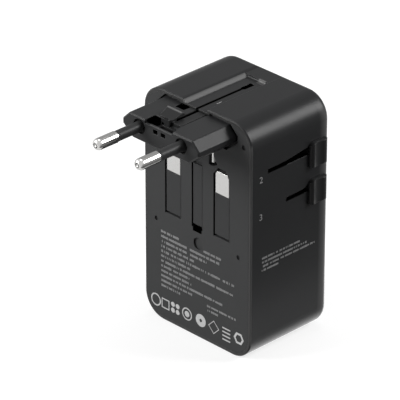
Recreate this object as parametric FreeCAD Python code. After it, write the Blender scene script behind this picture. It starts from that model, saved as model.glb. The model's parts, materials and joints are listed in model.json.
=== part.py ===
"""Universal travel adapter: slide-out EU plug, sliding US/AUS blades, fold-out UK pins and a universal socket.

Millimetres, +Z up. While the pieces are made, X = 0 is the middle, Y = 0 is the plug face, +Y runs into the
body and Z = 0 is the base. save() moves every solid so that the origin is the centre of the base.
"""
import FreeCAD, Part
import math
import os

Vector = FreeCAD.Vector
AXIS_X = Vector(1, 0, 0)
AXIS_Y = Vector(0, 1, 0)
AXIS_Z = Vector(0, 0, 1)

# ---- casing
body_width = 49.0
body_height = 84.5
body_depth = 35.5
corner_radius = 8.5
back_edge_radius = 2.6
front_edge_bevel = 0.4
side_wall = 2.0
back_wall = 1.2
rim_width = 1.2
plate_thickness = 2.0
seam = 0.05

# ---- thumb channel in the top, with the slit that the knob's stem runs in
channel_left = -4.8
channel_right = 4.5
channel_depth = 1.2
channel_end = 27.6
channel_lip_radius = 4.0
ramp_depth = 0.3
floor_thickness = 0.55
slit_width = 0.9
slit_end = 24.5
keyhole_width = 2.0
keyhole_start = 20.0

# ---- EU plug
block_half_top = 14.2
block_half_width = 17.3
block_half_bottom = 12.8
block_top = 82.65
block_side_top = 79.6
block_side_bottom = 77.9
block_bottom = 74.2
block_front = -16.3
block_rear = 1.2
block_gap = 0.8
flange_thickness = 0.4
eu_travel = 33.4
eu_pin_spacing = 19.0
eu_pin_height = 79.3
eu_pin_radius = 2.0
eu_sleeve_radius = 1.8
eu_core_half = 1.05
eu_pin_length = 19.0
eu_sleeve_length = 9.6

# ---- UK plug (folded flat in the plug face at rest)
line_pin_offset = 11.1
line_pin_width = 6.35
line_pin_thickness = 4.0
line_pin_length = 17.7
line_sleeve_top = 56.4
line_bevel_height = 2.2
line_bevel_width = 1.5
line_hub_radius = 4.35
earth_relief = 0.8
earth_pin_width = 4.0
earth_pin_thickness = 8.0
earth_pin_length = 22.7
earth_above_line = 22.2
pin_recess = 0.15
line_pivot_z = 45.2
line_pivot_y = pin_recess + line_pin_thickness / 2
earth_pivot_z = line_pivot_z + earth_above_line
earth_pivot_y = pin_recess + earth_pin_thickness / 2
pin_slot_gap = 0.4
axle_radius = 1.0
axle_clearance = 0.05

# ---- fold gearing: rack -> idler -> sector on the pin
gear_module = 0.7
sector_teeth = 15
idler_teeth = 11
tooth_addendum = 0.55
tooth_dedendum = 0.85
tooth_share = 0.40
sector_radius = gear_module * sector_teeth / 2
idler_radius = gear_module * idler_teeth / 2
gear_spread = 0.06
gear_half_width = 1.25
rack_lead = 0.5
slide_front = 26.3
slide_back = 28.3
strap_front = 24.5
uk_travel = sector_radius * math.pi / 2
line_idler_y = line_pivot_y + sector_radius + idler_radius + gear_spread
earth_idler_y = earth_pivot_y + sector_radius + idler_radius + gear_spread

# ---- US / AUS blades
blade_offset = 6.35
blade_height = 6.35
blade_thickness = 1.5
blade_z = 69.0
blade_tip_y = 0.6
blade_length = 19.5
hub_radius = 2.6
hub_length = 4.0
us_travel = 17.5
twist_degrees = 30.0

# ---- side knobs and their slots
knob_proud = 1.8
knob_front = 25.5
knob_back = 33.3
knob_height = 8.6
us_knob_z = 66.5
uk_knob_z = 53.2
us_slot_front = 7.2
us_slot_z = 66.7
uk_slot_front = 15.5
uk_slot_z = 53.6
slot_height = 1.4
slot_rear = 31.6
stem_front = 26.0
stem_back = 31.0
stem_low = 0.15
stem_high = 1.25

# ---- socket side
socket_half_width = 17.0
socket_low = 9.0
socket_high = 59.0
socket_corner = 6.0
socket_recess = 0.3
socket_line_z = 21.0
socket_flange = 1.4
socket_earth_z = socket_line_z + earth_above_line
fuse_z = 53.4
fuse_y = 31.0
fuse_half = 11.5

# ---- charging electronics
board_y = 12.0
board_thickness = 1.6
usb_offset = 8.0
usb_a_y = board_y + board_thickness + 2.9
usb_c_y = board_y - 1.65
usb_shell = 0.35
usb_clearance = 0.15
light_pipe_radius = 1.1
light_pipe_x = 20.0
light_pipe_z = 7.0


# ---------------------------------------------------------------- helpers
def box(x0, x1, y0, y1, z0, z1):
    """Box between two corners."""
    return Part.makeBox(x1 - x0, y1 - y0, z1 - z0, Vector(x0, y0, z0))


def rod(radius, start, end):
    """Round rod between two points."""
    run = end - start
    return Part.makeCylinder(radius, run.Length, start, run)


def flat_sided_rod(radius, sides, start, end):
    """Prism between two points whose flats touch a circle of this radius."""
    run = end - start
    corner = AXIS_Z * (radius / math.cos(math.pi / sides))
    points = [start + FreeCAD.Rotation(run, 360.0 * (k + 0.5) / sides).multVec(corner) for k in range(sides)]
    return Part.Face(Part.makePolygon(points + points[:1])).extrude(run)


def extrude_xz(points, y0, y1):
    """Prism along Y from an outline of (x, z) points."""
    wire = Part.makePolygon([Vector(x, y0, z) for x, z in points + points[:1]])
    return Part.Face(wire).extrude(Vector(0, y1 - y0, 0))


def extrude_yz(points, x0, x1):
    """Prism along X from an outline of (y, z) points."""
    wire = Part.makePolygon([Vector(x0, y, z) for y, z in points + points[:1]])
    return Part.Face(wire).extrude(Vector(x1 - x0, 0, 0))


def extrude_xy(points, z0, z1):
    """Prism along Z from an outline of (x, y) points."""
    wire = Part.makePolygon([Vector(x, y, z0) for x, y in points + points[:1]])
    return Part.Face(wire).extrude(Vector(0, 0, z1 - z0))


def fillet_where(shape, radius, test):
    """Fillet the edges that pass the test."""
    return shape.makeFillet(radius, [edge for edge in shape.Edges if test(edge.BoundBox)])


def chamfer_where(shape, size, test):
    """Chamfer the edges that pass the test."""
    return shape.makeChamfer(size, [edge for edge in shape.Edges if test(edge.BoundBox)])


def runs_along(axis):
    """Edge test: the edge is straight along one axis."""
    def test(bound):
        lengths = {"x": bound.XLength, "y": bound.YLength, "z": bound.ZLength}
        along = lengths.pop(axis)
        return along > 1e-3 and max(lengths.values()) < 1e-3
    return test


def lies_at_y(y):
    """Edge test: the whole edge lies in the plane of one Y."""
    return lambda bound: abs(bound.YMin - y) < 1e-3 and abs(bound.YMax - y) < 1e-3


def rounded_slab(half_width, z0, z1, radius, y0, y1):
    """Slab with rounded corners in the XZ plane."""
    return fillet_where(box(-half_width, half_width, y0, y1, z0, z1), radius, runs_along("y"))


def mirrored(shape):
    """The same solid on the other side of X = 0."""
    return shape.mirror(Vector(0, 0, 0), AXIS_X)


def fuse(shapes):
    """Fuse a list of solids into one."""
    return shapes[0].multiFuse(shapes[1:]).removeSplitter()


def save(name, *shapes):
    """Write one node, moved so that the origin is the centre of the base."""
    solids = [solid for shape in shapes for solid in shape.Solids]
    moved = Part.makeCompound(solids) if len(solids) > 1 else solids[0].copy()
    moved.translate(Vector(0, -body_depth / 2, 0))
    moved.exportStep("parts/" + name + ".step")


# ---------------------------------------------------------------- casing
def plug_prism(offset, y0, y1):
    """Prism of the EU plug's eight-sided outline, grown by an offset on every side."""
    right = [(block_half_top, block_top), (block_half_width, block_side_top),
             (block_half_width, block_side_bottom), (block_half_bottom, block_bottom)]
    left = [(-x, z) for x, z in reversed(right)]
    wire = Part.makePolygon([Vector(x, y0, z) for x, z in right + left + right[:1]])
    if offset:
        wire = wire.makeOffset2D(offset, 2)
    return Part.Face(wire).extrude(Vector(0, y1 - y0, 0))


def channel_cutter(depth, y0, y1):
    """Cutter for the thumb channel: a sharp wall on the right and a wide rounded lip on the left."""
    top = body_height
    full_run = math.sqrt(channel_lip_radius ** 2 - (channel_lip_radius - channel_depth) ** 2)
    lip_start = channel_left - full_run
    run = math.sqrt(channel_lip_radius ** 2 - (channel_lip_radius - depth) ** 2)
    half_angle = math.asin(run / channel_lip_radius) / 2
    centre = Vector(lip_start, y0, top - channel_lip_radius)
    start = centre + Vector(0, 0, channel_lip_radius)
    middle = centre + channel_lip_radius * Vector(math.sin(half_angle), 0, math.cos(half_angle))
    end = centre + Vector(run, 0, channel_lip_radius - depth)
    corners = [end, Vector(channel_right, y0, top - depth), Vector(channel_right, y0, top + 2),
               Vector(lip_start, y0, top + 2), start]
    edges = [Part.Arc(start, middle, end).toShape()]
    edges += [Part.makeLine(a, b) for a, b in zip(corners, corners[1:])]
    return Part.Face(Part.Wire(edges)).extrude(Vector(0, y1 - y0, 0))


def slot_cutter(front, low_edge):
    """Wedge-shaped slot in the right wall: narrow at the front, wider under the knob's rest place."""
    radius = slot_height / 2
    widening = front + 7.0
    outline = extrude_yz([
        (front + radius, low_edge), (slot_rear, low_edge), (slot_rear, low_edge + 3.2),
        (29.0, low_edge + 3.2), (widening, low_edge + slot_height), (front + radius, low_edge + slot_height),
    ], body_width / 2 - side_wall - 1, body_width / 2 + 1)
    nose = rod(radius, Vector(body_width / 2 - side_wall - 1, front + radius, low_edge + radius),
               Vector(body_width / 2 + 1, front + radius, low_edge + radius))
    return outline.fuse(nose)


def make_main_shell():
    outside = rounded_slab(body_width / 2, 0, body_height, corner_radius, 0, body_depth)
    outside = fillet_where(outside, back_edge_radius, lies_at_y(body_depth))
    outside = chamfer_where(outside, front_edge_bevel, lies_at_y(0))
    back_inside = body_depth - back_wall
    floor_under = body_height - channel_depth - floor_thickness
    cavity = rounded_slab(body_width / 2 - side_wall, side_wall, floor_under, corner_radius - side_wall,
                          plate_thickness, back_inside)
    rim = rounded_slab(body_width / 2 - rim_width, rim_width, body_height - rim_width - seam,
                       corner_radius - rim_width, -1, plate_thickness)
    shell = outside.cut(cavity).cut(rim)
    shell = shell.cut(plug_prism(block_gap, -1, block_rear + eu_travel + 0.1))
    channel_floor = box(channel_left - 3.2, channel_right + 1.0, 0, back_inside,
                        floor_under, body_height - channel_depth + 0.6)
    slit = box(-slit_width / 2, slit_width / 2, -1, slit_end, floor_under - 1, body_height + 1)
    keyhole = fillet_where(box(-keyhole_width / 2, keyhole_width / 2, keyhole_start, slit_end + 0.4,
                               floor_under - 1, body_height + 1), 0.6, runs_along("z"))
    channel = channel_cutter(channel_depth, -1, channel_end)
    channel = fillet_where(channel, 0.6, lambda b: lies_at_y(channel_end)(b)
                           and b.ZMax < body_height - channel_depth + 0.01)
    shell = shell.fuse(channel_floor)
    shell = shell.cut(channel).cut(channel_cutter(ramp_depth, channel_end - 1, body_depth + 1))
    shell = shell.cut(slit).cut(keyhole)
    shell = shell.cut(slot_cutter(us_slot_front, us_slot_z)).cut(slot_cutter(uk_slot_front, uk_slot_z))
    shell = shell.cut(rounded_slab(socket_half_width, socket_low, socket_high, socket_corner,
                                   back_inside - 1, body_depth + 1))
    for x in (-usb_offset, usb_offset):
        shell = shell.cut(usb_a_prism(x, usb_clearance, -1, side_wall + 1))
        shell = shell.cut(usb_c_prism(x, usb_clearance, -1, side_wall + 1))
    shell = shell.cut(rod(light_pipe_radius + 0.05, Vector(light_pipe_x, back_inside - 1, light_pipe_z),
                          Vector(light_pipe_x, body_depth + 1, light_pipe_z)))
    for side in (-1, 1):
        rail = box(15.5, body_width / 2 - side_wall + 0.2, plate_thickness, back_inside, 75.6, 81.6)
        rail = rail.cut(plug_prism(block_gap, 0, body_depth))
        rail = rail.common(rounded_slab(body_width / 2 - 1, 1, body_height - 1, corner_radius - 1, 0, body_depth))
        shell = shell.fuse(rail if side > 0 else mirrored(rail))
    return shell.removeSplitter()


def make_plug_face_plate():
    inset = rim_width + seam
    plate = rounded_slab(body_width / 2 - inset, inset, body_height - inset, corner_radius - inset,
                         0, plate_thickness)
    plate = plate.cut(plug_prism(block_gap, -1, plate_thickness + 1))
    floor_under = body_height - channel_depth - floor_thickness
    plate = plate.cut(box(channel_left - 3.3, channel_right + 1.1, -1, plate_thickness + 1,
                          floor_under - seam, body_height))
    dimples = [(18.85, 36.8), (20.8, 76.9)]
    ribs = []
    slot_half = line_pin_width / 2 + pin_slot_gap
    line_back = line_idler_y + 2.4
    for side in (-1, 1):
        for x in (side * line_pin_offset - slot_half - 1.1, side * line_pin_offset + slot_half):
            ribs.append(box(x, x + 1.1, plate_thickness - 0.5, line_back, 37.6, 50.0))
        ribs.append(box(side * line_pin_offset - slot_half - 1.1, side * line_pin_offset + slot_half + 1.1,
                        plate_thickness - 0.5, line_back, 36.6, 38.1))
    earth_half = earth_pin_width / 2 + pin_slot_gap
    earth_back = earth_idler_y + 2.4
    for x in (-earth_half - 1.0, earth_half):
        ribs.append(box(x, x + 1.0, plate_thickness - 0.5, earth_back, 62.9, 73.3))
    plate = plate.multiFuse(ribs)
    slots = []
    for side in (-1, 1):
        x = side * line_pin_offset
        slots.append(line_slot_prism(x, slot_half))
        slots.append(box(x - gear_half_width - 0.2, x + gear_half_width + 0.2, 1.0, plate_thickness + 0.01,
                         line_pivot_z - 6.0, line_pivot_z))
    slots.append(box(-earth_half, earth_half, -1, plate_thickness + 0.01,
                     earth_pivot_z - earth_pin_length - earth_pivot_y - 0.5, earth_pivot_z + 4.4))
    slots.append(box(-2, 2, -1, plate_thickness + 1, 38.7, 40.2))
    for side in (-1, 1):
        slots.append(blade_fan(side, -1, plate_thickness + 1))
        slots += [flat_sided_rod(0.85, 12, Vector(side * x, -1, z), Vector(side * x, 0.5, z))
                  for x, z in dimples]
    slots.append(rod(2.2, Vector(0.5, -1, 34.7), Vector(0.5, 0.6, 34.7)))
    slots += [bearing_bore(side * line_pin_offset, slot_half + 1.2, y, line_pivot_z)
              for side in (-1, 1) for y in (line_pivot_y, line_idler_y)]
    slots += [bearing_bore(0, earth_half + 1.1, y, earth_pivot_z) for y in (earth_pivot_y, earth_idler_y)]
    for cutter in slots:
        plate = plate.cut(cutter)
    return plate.removeSplitter()


def line_slot_prism(x, half):
    """Slot that a line pin folds into, with its upper corners cut like the pin's."""
    low = line_pivot_z - line_hub_radius - 0.25
    high = line_pivot_z + line_pin_length + line_pivot_y + 0.55
    corner_height = line_bevel_height + pin_slot_gap
    corner_width = corner_height * line_bevel_width / line_bevel_height
    return extrude_xz([(x - half, low), (x + half, low), (x + half, high - corner_height),
                       (x + half - corner_width, high), (x - half + corner_width, high),
                       (x - half, high - corner_height)], -1, plate_thickness + 0.01)


def bearing_bore(x, reach, y, z):
    """Eight-sided bore along X through the two ribs on either side of x; an axle runs on its flats."""
    return flat_sided_rod(axle_radius + axle_clearance, 8, Vector(x - reach, y, z), Vector(x + reach, y, z))


def blade_fan(side, y0, y1):
    """Bow-tie opening that lets a blade stand upright or twisted."""
    half_z = blade_height / 2 + 0.3
    half_x = blade_thickness / 2 + 0.3
    sweep = []
    for step in range(4):
        angle = -side * twist_degrees * step / 3
        slot = box(-half_x, half_x, y0, y1, -half_z, half_z)
        slot.rotate(Vector(0, 0, 0), AXIS_Y, angle)
        sweep.append(slot)
    fan = fuse(sweep)
    fan.translate(Vector(side * blade_offset, 0, blade_z))
    return fan


# ---------------------------------------------------------------- EU plug
def make_eu_block():
    front = block_front
    block = plug_prism(0, front, block_rear)
    block = fillet_where(block, 0.6, lambda b: b.YLength > 5)
    block = chamfer_where(block, 0.45, lies_at_y(front))
    flange = plug_prism(block_gap - 0.1, block_rear - flange_thickness, block_rear)
    flange = flange.cut(box(channel_left - 3.4, channel_right + 1.2, -2, 2, block_top, body_height))
    block = block.fuse(flange)
    well = box(-7.0, 4.9, front + 1.0, -11.6, block_top - 2.6, block_top + 1)
    well = fillet_where(well, 0.8, runs_along("z"))
    front_notch = box(-7.0, 5.6, front - 1, front + 1.6, block_top - 1.3, block_top + 1)
    end_hole = box(3.4, 5.5, front + 0.8, front + 2.4, block_top - 3.6, block_top)
    catch_hole = box(-4.1, -3.1, -11.7, -10.2, block_top - 2.4, block_top - 1.5)
    slit = box(0.0, 0.95, -9.8, block_rear + 1, block_top - 1.9, block_top + 1)
    catch_pocket = box(-7.0, -3.0, -3.0, block_rear + 1, block_top - 2.4, block_top + 1)
    strip_groove = box(0.7, 4.6, -11.7, block_rear + 1, block_top - 1.3, block_top + 1)
    stem_seat = box(-0.35, 0.35, -13.0, -9.2, block_top - 1.6, block_top + 1)
    for cutter in (front_notch, well, end_hole, catch_hole, slit, catch_pocket, strip_groove, stem_seat):
        block = block.cut(cutter)
    lip = box(-4.6, 5.3, front + 0.02, front + 0.9, block_top - 1.6, block_top - 0.9)
    lip = chamfer_where(lip, 0.25, lambda b: runs_along("x")(b) and b.ZMin > block_top - 1)
    block = block.fuse(lip)
    for x in (-3.2, 0.3):
        block = block.cut(box(x, x + 2.0, front - 1, front + 3, 79.1, 80.6))
    for side in (-1, 1):
        x = side * eu_pin_spacing / 2
        block = block.cut(rod(eu_pin_radius + 0.6, Vector(x, front - 1, eu_pin_height),
                              Vector(x, front + 0.5, eu_pin_height)))
        block = block.cut(rod(eu_sleeve_radius, Vector(x, front - 1, eu_pin_height),
                              Vector(x, front + 8, eu_pin_height)))
    return block.removeSplitter()


def make_eu_pin(side):
    """Round pin with a bevelled end; a thinner square shank grips the sleeve and the block."""
    x = side * eu_pin_spacing / 2
    tip = block_front - eu_pin_length
    sleeve_end = block_front - eu_sleeve_length
    bare = rod(eu_pin_radius, Vector(x, tip, eu_pin_height), Vector(x, sleeve_end, eu_pin_height))
    bare = chamfer_where(bare, 0.8, lies_at_y(tip))
    return bare.fuse(eu_shank(x, sleeve_end)).removeSplitter()


def eu_shank(x, start):
    return box(x - eu_core_half, x + eu_core_half, start, block_front + 8,
               eu_pin_height - eu_core_half, eu_pin_height + eu_core_half)


def make_eu_sleeve(side):
    x = side * eu_pin_spacing / 2
    start = block_front - eu_sleeve_length
    outside = rod(eu_sleeve_radius, Vector(x, start, eu_pin_height), Vector(x, block_front + 8, eu_pin_height))
    return outside.cut(eu_shank(x, start - 1))


def make_eu_knob():
    """Ramp that rides over the channel floor and along its rounded lip, on a stem that runs in the slit."""
    low = body_height - channel_depth + 0.15
    high = body_height - 0.1
    ramp = extrude_yz([(-11.9, low), (-6.4, low), (-6.4, high - 0.3), (-6.7, high), (-7.2, high),
                       (-11.9, low + 0.12)], channel_left - 1.8, 0.9)
    full_run = math.sqrt(channel_lip_radius ** 2 - (channel_lip_radius - channel_depth) ** 2)
    lip_x = channel_left - full_run
    lip_z = body_height - channel_lip_radius
    ramp = ramp.cut(rod(channel_lip_radius + 0.15, Vector(lip_x, -13, lip_z), Vector(lip_x, -5, lip_z)))
    stem = box(-0.3, 0.3, -12.6, -9.3, block_top - 1.55, low + 0.1)
    return ramp.fuse(stem).removeSplitter()


def make_eu_latch_strip():
    return box(0.98, 4.2, -11.45, block_rear - 0.05, block_top - 1.3, block_top - 0.05)


# ---------------------------------------------------------------- gearing
def tooth(radius, angle, centre_y, centre_z, half_width):
    """One tapered tooth of a wheel that turns about X; angle runs from +Y towards +Z."""
    pitch = math.pi * gear_module
    half_pitch_line = tooth_share * pitch / 2
    flare = 0.17
    profile = [
        (radius - tooth_dedendum - 0.3, half_pitch_line + 0.26), (radius, half_pitch_line),
        (radius + tooth_addendum, half_pitch_line - flare), (radius + tooth_addendum, flare - half_pitch_line),
        (radius, -half_pitch_line), (radius - tooth_dedendum - 0.3, -half_pitch_line - 0.26),
    ]
    solid = extrude_yz(profile, -half_width, half_width)
    solid.rotate(Vector(0, 0, 0), AXIS_X, angle)
    solid.translate(Vector(0, centre_y, centre_z))
    return solid


def wheel(teeth, angles, centre_y, centre_z, half_width, sweep=360.0):
    """Toothed wheel about X, or a sector of it that starts half a tooth before its first angle."""
    radius = gear_module * teeth / 2
    start = angles[0] - 180.0 / teeth
    disc = Part.makeCylinder(radius - tooth_dedendum, 2 * half_width, Vector(0, 0, 0), AXIS_Z, sweep)
    disc.rotate(Vector(0, 0, 0), Vector(1, 1, 1), 120)
    disc.rotate(Vector(0, 0, 0), AXIS_X, start)
    disc.translate(Vector(-half_width, centre_y, centre_z))
    return disc.multiFuse([tooth(radius, a, centre_y, centre_z, half_width) for a in angles])


def idler_angles():
    """Idler teeth: one of them faces the pin's sector."""
    step = 360.0 / idler_teeth
    return [180.0 + k * step for k in range(idler_teeth)]


def make_idler(centre_y, centre_z, x):
    gear = wheel(idler_teeth, idler_angles(), centre_y, centre_z, gear_half_width)
    bore = rod(axle_radius + axle_clearance, Vector(-5, centre_y, centre_z), Vector(5, centre_y, centre_z))
    gear = gear.cut(bore)
    gear.translate(Vector(x, 0, 0))
    return gear.removeSplitter()


def make_rack(centre_y, centre_z, side, x, y1, back):
    """Rack along Y. side is +1 when it lies above the idler, -1 below; back is its body's thickness."""
    pitch = math.pi * gear_module
    y0 = centre_y - rack_lead
    step = 360.0 / idler_teeth
    nearest = min((((a - 90.0 * side) + 180.0) % 360.0 - 180.0 for a in idler_angles()), key=abs)
    gap_y = centre_y - side * idler_radius * math.radians(nearest)
    line = centre_z + side * (idler_radius + gear_spread)
    root = line + side * tooth_dedendum
    bar = box(-gear_half_width, gear_half_width, y0, y1, min(root, root + side * back),
              max(root, root + side * back))
    half = tooth_share * pitch / 2
    teeth = []
    toothed_end = min(y0 + uk_travel + 2.6 * pitch, y1 - pitch / 2)
    first = math.ceil((y0 - gap_y) / pitch - 0.5)
    last = math.floor((toothed_end - gap_y) / pitch - 0.5)
    for k in range(first, last + 1):
        y = gap_y + (k + 0.5) * pitch
        tip = line - side * tooth_addendum
        teeth.append(extrude_yz([
            (y - half - 0.24, root + side * 0.1), (y + half + 0.24, root + side * 0.1),
            (y + half - 0.2, tip), (y - half + 0.2, tip)], -gear_half_width, gear_half_width))
    rack = bar.multiFuse(teeth)
    rack.translate(Vector(x, 0, 0))
    return rack


# ---------------------------------------------------------------- UK plug
def make_sector(first_angle, centre_y, centre_z):
    """Five-tooth sector; its first angle runs from +Y towards +Z."""
    step = 360.0 / sector_teeth
    angles = [first_angle + k * step for k in range(5)]
    return wheel(sector_teeth, angles, centre_y, centre_z, gear_half_width, 5 * step)


def make_line_rocker(side):
    """Sleeve, hub and gear sector of a line pin, all one moulding, with stub axles."""
    half = line_pin_width / 2
    y0 = pin_recess
    y1 = pin_recess + line_pin_thickness
    body = box(-half, half, y0, y1, line_pivot_z, line_sleeve_top)
    hub = rod(line_hub_radius, Vector(-half, line_pivot_y, line_pivot_z), Vector(half, line_pivot_y, line_pivot_z))
    hub = hub.common(box(-half, half, y0, y1, line_pivot_z - line_hub_radius - 1, line_pivot_z + 0.5))
    gear = make_sector(-84.0, line_pivot_y, line_pivot_z)
    axle = rod(axle_radius, Vector(-half - pin_slot_gap - 1.0, line_pivot_y, line_pivot_z),
               Vector(half + pin_slot_gap + 1.0, line_pivot_y, line_pivot_z))
    rocker = body.multiFuse([hub, gear, axle])
    rocker = rocker.cut(line_pin_core())
    rocker.translate(Vector(side * line_pin_offset, 0, 0))
    return rocker.removeSplitter()


def line_pin_core():
    return box(-2.4, 2.4, line_pivot_y - 1.3, line_pivot_y + 1.3, line_pivot_z + 2.5, line_sleeve_top + 1)


def make_line_pin(side):
    """Bare end of a line pin with its bevelled tip, and the shank that the sleeve grips."""
    half = line_pin_width / 2
    tip_z = line_pivot_z + line_pin_length + line_pivot_y
    bevel_z = tip_z - line_bevel_height
    tip = extrude_xz([(-half, line_sleeve_top), (half, line_sleeve_top), (half, bevel_z),
                      (half - line_bevel_width, tip_z), (line_bevel_width - half, tip_z), (-half, bevel_z)],
                     pin_recess, pin_recess + line_pin_thickness)
    tip = chamfer_where(tip, 0.9, lambda b: runs_along("x")(b) and b.ZMin > bevel_z)
    tip = chamfer_where(tip, 0.25, lambda b: b.ZLength > 5)
    pin = tip.fuse(line_pin_core().common(box(-9, 9, -9, 9, 0, line_sleeve_top + 0.5)))
    pin.translate(Vector(side * line_pin_offset, 0, 0))
    return pin.removeSplitter()


def make_earth_pin():
    """Plastic earth pin that opens the shutters: bar, hub, gear sector and stub axles."""
    half = earth_pin_width / 2
    y0 = pin_recess
    y1 = pin_recess + earth_pin_thickness
    tip_z = earth_pivot_z - earth_pin_length - earth_pivot_y
    bar = box(-half, half, y0, y1, tip_z, earth_pivot_z)
    tip_edges = [e for e in bar.Edges if e.BoundBox.ZMax < tip_z + 0.01]
    bar = bar.makeChamfer(0.9, tip_edges)
    hub = rod(earth_pin_thickness / 2, Vector(-half, earth_pivot_y, earth_pivot_z),
              Vector(half, earth_pivot_y, earth_pivot_z))
    gear = make_sector(-12.0, earth_pivot_y, earth_pivot_z)
    axle = rod(axle_radius, Vector(-half - pin_slot_gap - 0.9, earth_pivot_y, earth_pivot_z),
               Vector(half + pin_slot_gap + 0.9, earth_pivot_y, earth_pivot_z))
    relief = box(-half - 1, half + 1, y0 - 1, y0 + earth_relief, earth_pivot_z - earth_pivot_y,
                 earth_pivot_z + earth_pin_thickness)
    return fuse([bar, hub, gear, axle]).cut(relief)


def make_uk_carriage():
    """Slide that joins the side knob to the three racks, which stand on its front face."""
    wall = body_width / 2 - side_wall
    parts = [
        box(wall - 2.0, wall - 0.15, 24.0, 32.0, 50.0, 57.4),
        box(-16.5, wall - 0.5, slide_front, slide_back, 50.0, 57.4),
        box(-16.5, -13.5, slide_front, slide_back, 50.0, 73.2),
        box(-16.5, gear_half_width, strap_front, slide_back, 72.4, 73.2),
        box(wall - 0.6, body_width / 2 + 0.4, stem_front, stem_back, uk_slot_z + stem_low, uk_slot_z + stem_high),
    ]
    for side in (-1, 1):
        x = side * line_pin_offset
        parts.append(box(x - gear_half_width, x + gear_half_width, slide_front, slide_back, 38.7, 51.0))
    return fuse(parts)


def make_line_rack(side):
    return make_rack(line_idler_y, line_pivot_z, -1, side * line_pin_offset, slide_front, 1.8)


def make_earth_rack():
    return make_rack(earth_idler_y, earth_pivot_z, 1, 0, strap_front, 1.05)


# ---------------------------------------------------------------- US / AUS plug
def make_us_carriage():
    """Slide that joins the side knob to the two blade hubs."""
    wall = body_width / 2 - side_wall
    bar_y0 = 29.5
    bar_y1 = 32.5
    hub_back = blade_tip_y + blade_length + hub_length
    parts = [
        box(wall - 2.0, wall - 0.15, 26.0, bar_y1, 58.6, 69.6),
        box(-blade_offset - 2.0, wall - 0.5, bar_y0, bar_y1, 58.6, 62.6),
        box(wall - 0.6, body_width / 2 + 0.4, stem_front, stem_back, us_slot_z + stem_low, us_slot_z + stem_high),
    ]
    for side in (-1, 1):
        x = side * blade_offset
        parts.append(box(x - 2.0, x + 2.0, bar_y0, bar_y1, 62.0, 71.6))
        parts.append(box(x - 2.0, x + 2.0, hub_back + 0.1, bar_y0 + 0.5, blade_z - 2.0, blade_z + 2.0))
    carriage = fuse(parts)
    for side in (-1, 1):
        x = side * blade_offset
        carriage = carriage.cut(rod(axle_radius + axle_clearance, Vector(x, hub_back - 1, blade_z),
                                    Vector(x, hub_back + 4, blade_z)))
    return carriage.removeSplitter()


def make_blade(side):
    x = side * blade_offset
    half_x = blade_thickness / 2
    half_z = blade_height / 2
    end = blade_tip_y + blade_length + 2.5
    blade = box(x - half_x, x + half_x, blade_tip_y, end, blade_z - half_z, blade_z + half_z)
    narrow = box(x - 1, x + 1, blade_tip_y + blade_length, end + 1, blade_z - 5, blade_z - 1.8)
    blade = blade.cut(narrow).cut(box(x - 1, x + 1, blade_tip_y + blade_length, end + 1, blade_z + 1.8, blade_z + 5))
    tip_edges = [e for e in blade.Edges if lies_at_y(blade_tip_y)(e.BoundBox)]
    blade = blade.makeChamfer(0.45, tip_edges)
    hole = rod(1.5, Vector(x - 2, blade_tip_y + 4.2, blade_z), Vector(x + 2, blade_tip_y + 4.2, blade_z))
    return blade.cut(hole)


def make_blade_hub(side):
    x = side * blade_offset
    y0 = blade_tip_y + blade_length
    hub = rod(hub_radius, Vector(x, y0, blade_z), Vector(x, y0 + hub_length, blade_z))
    spigot = rod(axle_radius, Vector(x, y0 + hub_length, blade_z), Vector(x, y0 + hub_length + 3.6, blade_z))
    return hub.fuse(spigot).cut(make_blade(side)).removeSplitter()


# ---------------------------------------------------------------- side knobs
def knob_plan():
    """The knob seen from above: rounded front, a shallow finger hollow and a rounded back."""
    wall = body_width / 2
    face = wall + knob_proud
    low = wall + 0.12
    crest = knob_front + 1.1
    valley_end = knob_front + 5.3
    arcs = [
        Part.Arc(Vector(low, knob_front, 0), Vector(wall + 1.2, knob_front + 0.15, 0), Vector(face, crest, 0)),
        Part.Arc(Vector(face, crest, 0), Vector(face - 0.45, (crest + valley_end) / 2, 0),
                 Vector(face, valley_end, 0)),
        Part.Arc(Vector(face, valley_end, 0), Vector(face - 0.5, knob_back - 0.55, 0), Vector(low, knob_back, 0)),
    ]
    edges = [arc.toShape() for arc in arcs]
    edges.append(Part.makeLine(Vector(low, knob_back, 0), Vector(low, knob_front, 0)))
    return Part.Face(Part.Wire(edges)).extrude(Vector(0, 0, knob_height))


def make_side_knob(centre_z, slot_z):
    """Thumb knob on the right side, on the stem that comes out of its slot."""
    wall = body_width / 2
    front_view = box(wall - 3, wall + knob_proud + 0.2, knob_front - 1, knob_back + 1, 0, knob_height)
    front_view = fillet_where(front_view, 0.7, lambda b: runs_along("y")(b) and b.XMin > wall)
    side_view = box(wall - 3, wall + 4, knob_front - 0.5, knob_back, 0, knob_height)
    side_view = fillet_where(side_view, 2.2, lambda b: runs_along("x")(b) and b.YMax < knob_front
                             and b.ZMin > knob_height - 0.1)
    side_view = fillet_where(side_view, 0.8, lambda b: runs_along("x")(b) and b.YMin > knob_front)
    knob = knob_plan().common(front_view).common(side_view)
    knob.translate(Vector(0, 0, centre_z - knob_height / 2))
    socket = box(wall - 1, wall + 0.4, stem_front, stem_back, slot_z + stem_low, slot_z + stem_high)
    return knob.cut(socket).removeSplitter()


# ---------------------------------------------------------------- socket side and electrics
def usb_a_prism(x, margin, z0, z1):
    """Block of a USB-A port's outline; the margin grows or shrinks it on every side."""
    half_x = 6.6 + margin
    half_y = 2.9 + margin
    return box(x - half_x, x + half_x, usb_a_y - half_y, usb_a_y + half_y, z0, z1)


def usb_c_prism(x, margin, z0, z1):
    """Block of a USB-C port's outline; the margin grows or shrinks it on every side."""
    half_x = 4.5 + margin
    half_y = 1.65 + margin
    shape = box(x - half_x, x + half_x, usb_c_y - half_y, usb_c_y + half_y, z0, z1)
    return fillet_where(shape, half_y - 0.05, runs_along("z"))


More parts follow.
